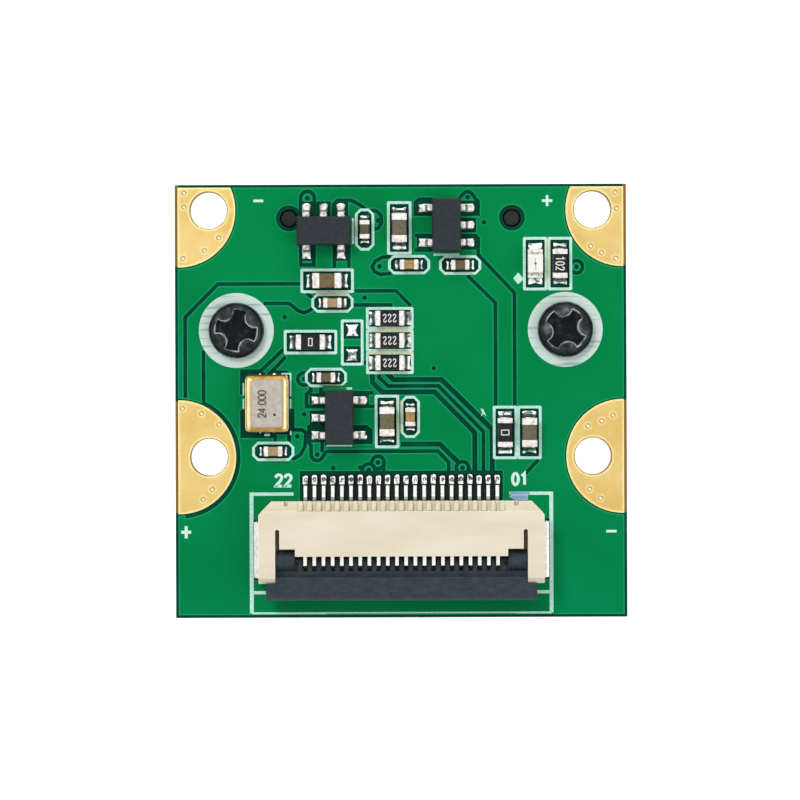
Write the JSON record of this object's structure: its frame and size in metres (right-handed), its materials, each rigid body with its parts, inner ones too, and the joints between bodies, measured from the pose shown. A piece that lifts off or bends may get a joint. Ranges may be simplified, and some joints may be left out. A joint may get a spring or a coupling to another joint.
{
  "type": "camera module",
  "caption": "Square camera board with a flip-latch flat cable connector and corner mounting holes on one side, and a screw-held threaded lens on the other.",
  "frame": {"origin": "under the middle of the board, at the level of the lens front rim that it rests on", "axes": "+X right, +Y from the connector edge to the far edge, +Z out of the component side"},
  "size_m": [0.0248, 0.0238, 0.0182],
  "materials": {
    "board": "solder mask over laminate",
    "copper": "glossy solder mask over copper",
    "gold": "matt gold plating",
    "print": "matt ink",
    "solder": "bright solder",
    "housing": "satin moulding",
    "latch": "satin moulding",
    "tinned": "tin plated",
    "moulding": "fine matt moulding",
    "ceramic_dark": "matt ceramic",
    "seal_gold": "gold plated ring",
    "lid": "satin metal lid",
    "cap_brown": "matt ceramic",
    "cap_grey": "matt ceramic",
    "cap_olive": "matt ceramic",
    "cap_tan": "matt ceramic",
    "cap_orange": "matt ceramic",
    "resistor": "glazed film on white ceramic",
    "led": "white laminate",
    "led_lens": "clear epoxy",
    "screw": "black oxide",
    "holder": "satin black moulding",
    "filter": "coated glass",
    "sensor": "silicon in its package",
    "cover_glass": "clear glass",
    "barrel": "black anodised",
    "ring": "black anodised",
    "glass": "coated glass"
  },
  "bodies": {
    "board": {"circuit_board": "board", "copper_pour": "copper", "corner_pads": "gold", "printed_outlines": "print", "chip_solder": "solder", "lead_solder": "solder", "connector_housing": "housing", "connector_contacts": "tinned", "hold_down_nails": "tinned", "regulator_1": "moulding", "regulator_1_leads": "tinned", "regulator_2": "moulding", "regulator_2_leads": "tinned", "regulator_3": "moulding", "regulator_3_leads": "tinned", "oscillator_base": "ceramic_dark", "oscillator_seal": "seal_gold", "oscillator_lid": "lid", "capacitor_1": "cap_brown", "capacitor_2": "cap_grey", "capacitor_3": "cap_olive", "capacitor_4": "cap_grey", "capacitor_5": "cap_tan", "capacitor_6": "cap_brown", "capacitor_7": "cap_orange", "capacitor_8": "cap_brown", "capacitor_9": "cap_brown", "capacitor_10": "cap_orange", "capacitor_11": "cap_tan", "large_capacitor_ends": "tinned", "small_capacitor_ends": "tinned", "resistor_1": "resistor", "resistor_2": "resistor", "resistor_3": "resistor", "resistor_4": "resistor", "resistor_5": "resistor", "resistor_6": "resistor", "resistor_ends": "tinned", "led_base": "led", "led_lens": "led_lens", "led_ends": "tinned", "holder_screws": "screw", "lens_holder": "holder", "infrared_filter": "filter", "image_sensor": "sensor", "sensor_glass": "cover_glass"},
    "latch": {"connector_latch": "latch"},
    "lens": {"lens_barrel": "barrel", "retaining_ring": "ring", "front_glass": "glass", "spacer_ring": "ring", "middle_glass": "glass", "rear_glass": "glass"}
  },
  "joints": [
    {"name": "latch_flip", "type": "hinge", "parent": "board", "child": "latch", "pos_m": [0, -0.00872, 0.0174], "axis": [-1, 0, 0], "range_deg": [0, 90]},
    {"name": "lens_focus", "type": "hinge", "parent": "board", "child": "lens", "pos_m": [0, 0.00388, 0], "axis": [0, 0, 1], "range_deg": [-180, 180]}
  ]
}
